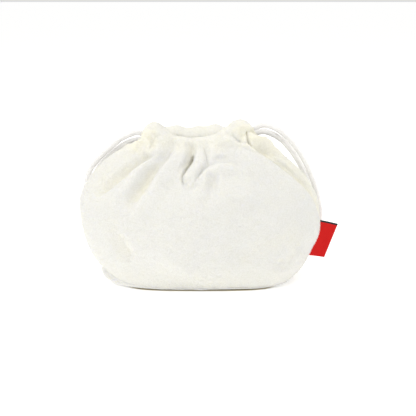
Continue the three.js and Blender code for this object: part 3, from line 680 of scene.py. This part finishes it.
def fold_height(fold, across, up, stretch):
    """Height of one fold, from the nearest stretch of its path."""
    _, path, left, left_profile, right, right_profile = fold
    nearest = np.full(across.shape, np.inf)
    height = np.zeros(across.shape)
    for start, end in zip(path[:-1], path[1:]):
        (start_across, start_up, start_height), (end_across, end_up, end_height) = start, end
        px, py = (across - start_across) * stretch, (up - start_up) * FOLD_RUN
        dx, dy = (end_across - start_across) * stretch, (end_up - start_up) * FOLD_RUN
        along = np.clip((px * dx + py * dy) / (dx * dx + dy * dy), 0, 1)
        off_x, off_y = px - along * dx, py - along * dy
        away = np.hypot(off_x, off_y)
        lean = (off_x * dy - off_y * dx) / np.maximum(away * np.hypot(dx, dy), TINY)
        leftness = (lean + 1) / 2
        reach = right + (left - right) * leftness
        sharp = right_profile[0] + (left_profile[0] - right_profile[0]) * leftness
        full = right_profile[1] + (left_profile[1] - right_profile[1]) * leftness
        q = np.minimum(away / reach, 1)
        size = start_height + (end_height - start_height) * along * along * (3 - 2 * along)
        nearer = away < nearest
        height = np.where(nearer, size * (1 - q ** sharp) ** full, height)
        nearest = np.where(nearer, away, nearest)
    return height


def folds_height(side, across, up, stretch):
    """Height of all the folds, which fade out towards the base seam."""
    folds = FRONT_FOLDS if side == FRONT else BACK_FOLDS
    return sum(fold_height(fold, across, up, stretch) for fold in folds) * smoothstep(up, 0, FOLDS_FULL)


def rim_lift(side, across, up):
    """How much higher a panel stands where its casing puffs up."""
    total = 0
    for at, reach, lift in FRONT_LIFTS if side == FRONT else BACK_LIFTS:
        q = np.minimum(np.abs(across - at) / reach, 1)
        total = total + lift * (1 - q * q) ** 2
    return total * smoothstep(up, LIFT_START, 1.0)


# Random heights that lumps draws from, and the steps through them along x, y and z
LUMP_HEIGHTS, LUMP_STRIDES = 4096, (73, 1291, 7919)


def lumps(places, size, seed):
    """Smooth random heights from -1 to 1 over places, in lumps about size across."""
    heights = np.random.default_rng(seed).uniform(-1, 1, LUMP_HEIGHTS)
    scaled = places / size
    cell = np.floor(scaled).astype(np.int64)
    f = scaled - cell
    f = f * f * (3 - 2 * f)
    total = 0
    for corner in np.ndindex(2, 2, 2):
        step = np.array(corner)
        weight = np.prod(np.where(step == 1, f, 1 - f), axis=-1)
        key = (cell + step) @ np.array(LUMP_STRIDES)
        total = total + weight * heights[key % LUMP_HEIGHTS]
    return total


# Soft unevenness of the filled cloth: lump size, height, seed
UNEVEN = [(34.0, 1.3, 11), (15.0, 0.5, 12), (6.0, 0.16, 13), (3.2, 0.12, 14)]
# Ruched cloth near the rim: width of a ruche, height, seed; then where it starts and is full, and its run
RUCHES = [(6.5, 0.6, 21), (3.0, 0.3, 24)]
RUCHE_START, RUCHE_FULL, RUCHE_RUN = 0.8, 0.97, 1.6
# Seams: how deep they pull the cloth in and how far that reaches
SEAM_DIP, SEAM_REACH = 1.3, 2.4
# The front's base seam shows only on the left: its least share, and where it starts to grow and is full
SEAM_LEAST, SEAM_GROWS = 0.2, (0.35, 0.75)


def seam_pull(side, across):
    """How much of its dip the base seam has."""
    if side == BACK:
        return 1.0
    return SEAM_LEAST + (1 - SEAM_LEAST) * smoothstep(-across, *SEAM_GROWS)


def cloth_detail(side, across, up, point, stretch):
    """Height of what is too fine for the folds: unevenness, ruches and the pull of the seams."""
    height = sum(size * lumps(point, width, seed + side) for width, size, seed in UNEVEN)
    for width, size, seed in RUCHES:
        run = np.stack([across * stretch / width, up * RUCHE_RUN, np.zeros(across.shape)], -1)
        height = height + size * smoothstep(up, RUCHE_START, RUCHE_FULL) * lumps(run, 1.0, seed + side)
    side_away = (1 - np.abs(across)) * stretch
    height = height - SEAM_DIP * np.exp(-((side_away / SEAM_REACH) ** 2))
    base_away = up * FOLD_RUN
    return height - SEAM_DIP * seam_pull(side, across) * np.exp(-((base_away / SEAM_REACH) ** 2))


def painted_warm_light_share(across, up, fold):
    """The share of painted warm light and shade on a panel's wall, from 0 to 1."""
    painted_light = np.maximum(-fold / HOLLOW_DEPTH, 0) + RIM_PAINTED_LIGHT * smoothstep(up, *RIM_UP)
    painted_light = painted_light + BASE_PAINTED_LIGHT * smoothstep(up, *BASE_UP)
    painted_light = painted_light + LOBE_PAINTED_LIGHT * smoothstep(np.abs(across), *LOBE_ACROSS) * smoothstep(up, *LOBE_UP)
    shoulder = smoothstep(-across, *SHOULDER_ACROSS) * smoothstep(up, *SHOULDER_UP)
    painted_light = painted_light + SHOULDER_PAINTED_LIGHT * shoulder
    painted_light = painted_light + STRIP_PAINTED_LIGHT * smoothstep(across + STRIP_SLOPE * up, *STRIP_LINE)
    return np.minimum(painted_light, 1)


def cloth_faces(side, column, up, layer, angle):
    """Outer and inner face of the cloth on a panel's wall, rim roll or facing, and its share of painted warm
    light.

    column is the place across before the side slits narrow the panel, angle the turn round the rim's roll.
    """
    across = column * (1 - SLIT * smoothstep(up, SLIT_START, SLIT_FULL))
    point, normal, rise, stretch = smooth_frame(side, across, SEAM_LEVEL + up * (RIM_LEVEL - SEAM_LEVEL))
    fold = folds_height(side, across, up, stretch)
    point[..., 2] += rim_lift(side, across, up)
    point[..., 1] += side * SEAM_GAP / 2
    detail = cloth_detail(side, across, up, point, stretch)
    outer = fold + detail
    width = HEM_GAP + (TUNNEL_WIDTH - HEM_GAP) * smoothstep(up, STITCH, TUNNEL_FULL)
    inside = -2 * CLOTH - np.maximum(width, HEM_GAP - fold) - FACING_DETAIL * detail
    if side == BACK:
        middle = smoothstep(np.abs(across), *MOUTH_ACROSS)
        inside = inside - MOUTH_PUFF * smoothstep(up, TUNNEL_FULL, 1.0) * middle
    roll_rise = ROLL_RISE + ROLL_PUFF * np.maximum(fold, 0)

    def place(away, lift):
        return point + normal * away[..., None] + rise * np.broadcast_to(lift, away.shape)[..., None]

    if layer == "wall":
        return place(outer, 0.0), place(outer - CLOTH, 0.0), painted_warm_light_share(across, up, fold)
    if layer == "facing":
        return place(inside, 0.0), place(inside + CLOTH, 0.0), np.full(across.shape, FACING_PAINTED_LIGHT)
    turn = np.radians(angle)
    centre, radius = (outer + inside) / 2, (outer - inside) / 2
    return (place(centre + radius * np.cos(turn), roll_rise * np.sin(turn)),
            place(centre + (radius - CLOTH) * np.cos(turn), (roll_rise - CLOTH) * np.sin(turn)),
            np.full(across.shape, RIM_PAINTED_LIGHT))


def cloth_piece(name, outer, inner, material, weave=None, painted_warm_light=None):
    """A closed cloth from its outer and inner faces, grids of columns by rows."""
    columns, rows = outer.shape[:2]
    count = columns * rows
    points = np.concatenate([outer.reshape(-1, 3), inner.reshape(-1, 3)])
    faces = [grid_faces(columns, rows), grid_faces(columns, rows, count)[:, ::-1]]
    i, j = np.arange(columns - 1) * rows, np.arange(rows - 1)
    last = count - rows
    faces.append(np.stack([count + i, count + i + rows, i + rows, i], -1))
    top = i + rows - 1
    faces.append(np.stack([top, top + rows, count + top + rows, count + top], -1))
    faces.append(np.stack([count + j, j, j + 1, count + j + 1], -1))
    faces.append(np.stack([last + j, count + last + j, count + last + j + 1, last + j + 1], -1))
    faces = facing_out(points, np.concatenate(faces))
    if weave is not None:
        weave = np.concatenate([weave.reshape(-1, 2)] * 2)
    fields = {}
    # Both faces carry the share of painted warm light.
    if painted_warm_light is not None:
        fields["painted_warm_light"] = np.concatenate([painted_warm_light.ravel()] * 2)
        fields["outside"] = np.repeat((1.0, 0.0), count)
    return new_piece(name, points, faces, material, weave, fields)


# Panels: columns and rows of each wall, rows of the rim's roll and the facing, and how much the columns
# crowd in the middle
FRONT_GRID, BACK_GRID = (280, 128), (230, 110)
ROLL_ROWS, FACING_ROWS = 13, 28
CROWDING = 0.3


def make_panel(name, side, columns, wall_rows, material):
    """A panel's cloth: up the wall, over the rim's roll and down the facing."""
    even = np.linspace(-1, 1, columns)
    column = even * (1 - CROWDING + CROWDING * even * even)
    parts = []
    for layer, ups, angles in (
        ("wall", np.linspace(0, 1, wall_rows), None),
        ("roll", np.ones(ROLL_ROWS), np.linspace(0, 180, ROLL_ROWS + 2)[1:-1]),
        ("facing", np.linspace(1, STITCH, FACING_ROWS), None),
    ):
        c, u = np.meshgrid(column, ups, indexing="ij")
        a = 0.0 if angles is None else np.broadcast_to(angles, c.shape)
        parts.append(cloth_faces(side, c, u, layer, a))
    outer, inner, painted_warm_light = (np.concatenate(layers, axis=1) for layers in zip(*parts))
    return cloth_piece(name, outer, inner, material, painted_warm_light=painted_warm_light)


# Base: its columns and rings, and how near its middle the first ring is
BASE_COLUMNS, BASE_RINGS, BASE_FLAT_RINGS, BASE_MIDDLE = 240, 40, 26, 0.02
# How far below the seam's level the base ends, in levels, and how long a level is there
BASE_CLEAR, BASE_LEVEL_RUN = 0.01, 7.0
# Unevenness of the base's curl: height, lump size, seed, and the levels where it starts and is full
BASE_UNEVEN, BASE_LUMP, BASE_SEED, BASE_UNEVEN_LEVELS = 0.35, 9.0, 31, (0.4, 1.2)
# The base has no standing nap below this height, where it lies on the floor.
NAP_CLEAR = 1.5


def base_faces():
    """Under and upper face of the base, as grids of columns by rings from the middle out."""
    levels = np.linspace(0, SEAM_LEVEL - BASE_CLEAR, BASE_RINGS)
    under, over = [], []
    for side, start in ((FRONT, -1), (BACK, 1)):
        across = np.linspace(start, -start, BASE_COLUMNS // 2, endpoint=False)
        a, level = np.meshgrid(across, levels, indexing="ij")
        point, normal, _, _ = smooth_frame(side, a, level)
        # The edge of the flat middle faces straight down.
        normal[:, 0] = (0, 0, -1)
        edge = (SEAM_LEVEL - level) * BASE_LEVEL_RUN
        away = BASE_UNEVEN * lumps(point, BASE_LUMP, BASE_SEED) * smoothstep(level, *BASE_UNEVEN_LEVELS)
        away = away - SEAM_DIP * seam_pull(side, a) * np.exp(-((edge / SEAM_REACH) ** 2))
        under.append(point + normal * away[..., None])
        over.append(point + normal * (away - CLOTH)[..., None])
    under, over = np.concatenate(under), np.concatenate(over)
    share = np.linspace(BASE_MIDDLE, 1, BASE_FLAT_RINGS, endpoint=False)[None, :, None]
    middle = np.array((0, 0, CLOTH))
    under = np.concatenate([under[:, :1] * share, under], axis=1)
    over = np.concatenate([middle + (over[:, :1] - middle) * share, over], axis=1)
    return under, over


def make_base(material):
    """The base: flat in the middle, curling up to the seam that joins it to the panels."""
    under, over = base_faces()
    rows = under.shape[1]
    count = BASE_COLUMNS * rows
    points = np.concatenate([under.reshape(-1, 3), over.reshape(-1, 3), [(0, 0, 0), (0, 0, CLOTH)]])
    ring = np.arange(BASE_COLUMNS) * rows
    beside = np.roll(ring, -1)
    rim = rows - 1
    faces = np.concatenate([
        grid_faces(BASE_COLUMNS, rows, wrap=True),
        grid_faces(BASE_COLUMNS, rows, count, wrap=True)[:, ::-1],
        np.stack([ring + rim, beside + rim, count + beside + rim, count + ring + rim], -1),
    ])
    turned = facing_out(points, faces)
    fans = [(2 * count, b, r) for r, b in zip(ring, beside)]
    fans += [(2 * count + 1, count + r, count + b) for r, b in zip(ring, beside)]
    if turned is not faces:
        fans = [fan[::-1] for fan in fans]
    standing = np.zeros(len(points))
    standing[:count] = points[:count, 2] > NAP_CLEAR
    return new_piece("base_fleece", points, [*turned.tolist(), *fans], material, fields={"outside": standing})


# Short nap of the fleece: length and width in metres, lean in radians and seed; then the sides of a fibre,
# its least and greatest size, and the fibres per square metre
NAP_LENGTH, NAP_WIDTH, NAP_LEAN, NAP_SEED = 0.0012, 0.00018, 0.95, 7
NAP_SIDES = 3
NAP_LEAST, NAP_GREATEST = 0.6, 1.2
NAP_FIBRES = {"front_fleece": 1.0e6, "back_fleece": 0.6e6, "base_fleece": 0.3e6}
NAP_INPUTS = {"Fibres": "Float", "Length": "Float", "Width": "Float", "Lean": "Float", "Seed": "Int"}


def nap_tree(material):
    """Fibres that stand on the outer face of a cloth and lean all ways."""
    tree = bpy.data.node_groups.new("short_nap", "GeometryNodeTree")
    tree.interface.new_socket("Cloth", in_out="INPUT", socket_type="NodeSocketGeometry")
    for name, kind in NAP_INPUTS.items():
        tree.interface.new_socket(name, in_out="INPUT", socket_type="NodeSocket" + kind)
    tree.interface.new_socket("Nap", in_out="OUTPUT", socket_type="NodeSocketGeometry")

    def add(kind, settings, sockets):
        node = tree.nodes.new(kind)
        for key, value in settings.items():
            setattr(node, key, value)
        for key, value in sockets.items():
            if isinstance(value, bpy.types.NodeSocket):
                tree.links.new(value, node.inputs[key])
            else:
                node.inputs[key].default_value = value
        return node.outputs

    def product(first, second):
        return add("ShaderNodeMath", {"operation": "MULTIPLY"}, {0: first, 1: second})[0]

    given = add("NodeGroupInput", {}, {})
    outside = add("GeometryNodeInputNamedAttribute", {"data_type": "FLOAT"}, {"Name": "outside"})["Attribute"]
    spread = add("GeometryNodeDistributePointsOnFaces", {}, {
        "Mesh": given["Cloth"], "Density": product(given["Fibres"], outside), "Seed": given["Seed"]})
    fibre = add("GeometryNodeMeshCone", {"fill_type": "NONE"}, {
        "Vertices": NAP_SIDES, "Radius Top": 0.0, "Radius Bottom": product(given["Width"], 0.5),
        "Depth": given["Length"]})
    tilt = add("FunctionNodeRandomValue", {"data_type": "FLOAT_VECTOR"}, {
        0: (-1, -1, -1), 1: (1, 1, 1), "Seed": given["Seed"]})[0]
    lean = add("ShaderNodeVectorMath", {"operation": "SCALE"}, {0: tilt, "Scale": given["Lean"]})[0]
    turn = add("FunctionNodeRotateRotation", {"rotation_space": "LOCAL"}, {
        0: spread["Rotation"], 1: add("FunctionNodeEulerToRotation", {}, {0: lean})[0]})[0]
    size = add("FunctionNodeRandomValue", {"data_type": "FLOAT"}, {
        2: NAP_LEAST, 3: NAP_GREATEST, "Seed": given["Seed"]})[1]
    fibres = add("GeometryNodeInstanceOnPoints", {}, {
        "Points": spread["Points"], "Instance": fibre["Mesh"], "Rotation": turn, "Scale": size})
    plain = add("GeometryNodeRealizeInstances", {}, {0: fibres[0]})[0]
    nap = add("GeometryNodeSetMaterial", {}, {"Geometry": plain, "Material": material})[0]
    add("NodeGroupOutput", {}, {0: nap})
    return tree


def make_nap(cloth, tree):
    """A cloth's nap as a plain mesh."""
    source = bpy.data.objects.new(cloth.name + "_nap", cloth.data)
    bpy.context.scene.collection.objects.link(source)
    modifier = source.modifiers.new("nap", "NODES")
    modifier.node_group = tree
    values = {
        "Fibres": NAP_FIBRES[cloth.name], "Length": NAP_LENGTH, "Width": NAP_WIDTH, "Lean": NAP_LEAN,
        "Seed": NAP_SEED,
    }
    for item in tree.interface.items_tree:
        if item.in_out == "INPUT" and item.name in values:
            modifier[item.identifier] = values[item.name]
    mesh = bpy.data.meshes.new_from_object(source.evaluated_get(bpy.context.evaluated_depsgraph_get()))
    source.modifiers.remove(modifier)
    source.data = mesh
    return source


# Side label: where up its seam starts and ends, and the two corners of its free edge
LABEL_SEAM = (0.14, 0.36)
LABEL_LOW_CORNER = np.array((111.6, 0.5, 18.8))
LABEL_HIGH_CORNER = np.array((123.0, -0.5, 50.0))
# Its thickness, its gap to the seam, how far it bows back, and its columns and rows
LABEL_THICK, LABEL_GAP, LABEL_BOW = 1.0, 0.35, 0.8
LABEL_COLUMNS, LABEL_ROWS = 40, 60


def make_label(material):
    """The label, from the side seam out to its free edge."""
    part = np.linspace(0, 1, LABEL_ROWS)
    up = LABEL_SEAM[0] + (LABEL_SEAM[1] - LABEL_SEAM[0]) * part
    level = SEAM_LEVEL + up * (RIM_LEVEL - SEAM_LEVEL)
    point, normal, _, _ = smooth_frame(FRONT, np.ones(LABEL_ROWS), level)
    seam = point + normal * LABEL_GAP
    edge = LABEL_LOW_CORNER + (LABEL_HIGH_CORNER - LABEL_LOW_CORNER) * part[:, None]
    across = np.linspace(0, 1, LABEL_COLUMNS)
    middle = seam[None] + (edge - seam)[None] * across[:, None, None]
    middle[..., 1] += LABEL_BOW * np.sin(np.pi * across)[:, None]
    half = np.array((0, LABEL_THICK / 2, 0))
    c, r = np.meshgrid(across, part, indexing="ij")
    return cloth_piece("side_label_tape", middle - half, middle + half, material, np.stack([c, r], -1))


fleece = fleece_finish()
front = make_panel("front_fleece", FRONT, *FRONT_GRID, fleece)
back = make_panel("back_fleece", BACK, *BACK_GRID, fleece)
base = make_base(fleece)
label = make_label(label_finish())
for piece, node, slot in (
    (front, "front_panel", "fleece"), (back, "back_panel", "fleece"),
    (base, "base_panel", "fleece"), (label, "side_label", "label"),
):
    stand_for(piece, node)
tree = nap_tree(fleece)
naps = {piece.name: make_nap(piece, tree) for piece in (front, back, base)}
for nap in naps.values():
    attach(nap, "root")

# Floor and light, in metres
FLOOR_HALF, FLOOR_DROP = 90.0, 0.0002
SKY_COLOUR, SKY_LIGHT = (1.0, 1.0, 1.0, 1), 0.735
LAMP_AIM = Vector((0, 0, 0.06))
# Lamps: name, place, width, power, colour
LAMPS = [
    ("soft_key", (-1.3, -0.85, 1.2), 1.2, 10.0, (1.0, 0.975, 0.915)),
    ("top_light", (0.5, -0.25, 1.65), 1.2, 10.5, (1.0, 0.975, 0.915)),
    ("back_light", (-0.4, 1.5, 0.7), 1.2, 3.0, (1.0, 0.985, 0.95)),
]


def make_floor():
    mesh = bpy.data.meshes.new("floor")
    corners = [(-1, -1), (1, -1), (1, 1), (-1, 1)]
    mesh.from_pydata([(FLOOR_HALF * x, FLOOR_HALF * y, -FLOOR_DROP) for x, y in corners], [], [(0, 1, 2, 3)])
    mesh.materials.append(floor_finish())
    floor = bpy.data.objects.new("floor", mesh)
    bpy.context.scene.collection.objects.link(floor)


def make_light():
    world = bpy.data.worlds.new("studio")
    world.use_nodes = True
    sky = world.node_tree.nodes["Background"]
    sky.inputs["Color"].default_value = SKY_COLOUR
    sky.inputs["Strength"].default_value = SKY_LIGHT
    bpy.context.scene.world = world
    for name, place, size, power, colour in LAMPS:
        lamp = bpy.data.lights.new(name, "AREA")
        lamp.shape = "DISK"
        lamp.size = size
        lamp.energy = power
        lamp.color = colour
        light = bpy.data.objects.new(name, lamp)
        light.location = place
        light.rotation_euler = (LAMP_AIM - light.location).to_track_quat("-Z", "Y").to_euler()
        bpy.context.scene.collection.objects.link(light)
    bpy.context.scene.view_settings.view_transform = "Standard"


make_floor()
make_light()
